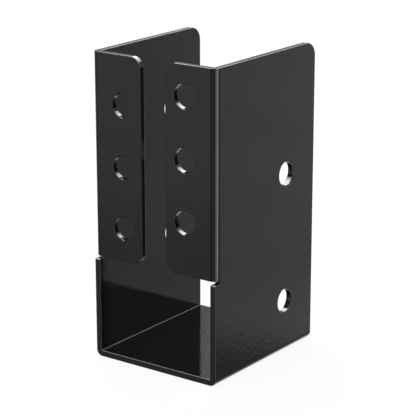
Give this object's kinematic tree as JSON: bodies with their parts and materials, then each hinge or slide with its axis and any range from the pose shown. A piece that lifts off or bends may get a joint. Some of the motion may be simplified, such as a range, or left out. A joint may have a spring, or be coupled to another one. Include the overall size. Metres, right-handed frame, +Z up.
{
  "type": "u bracket",
  "caption": "Folded steel U bracket for the end of a timber, with inward front flanges, relief slots and staggered bolt holes.",
  "frame": {"origin": "middle of the underside of the base", "axes": "+X across the bracket to its right side, -Y out of the front where the flanges are, +Z up"},
  "size_m": [0.099, 0.1134, 0.2096],
  "materials": {
    "black_powder_coat": "gloss black powder coat on steel sheet"
  },
  "bodies": {
    "root": {"u_bracket": "black_powder_coat"}
  },
  "joints": []
}
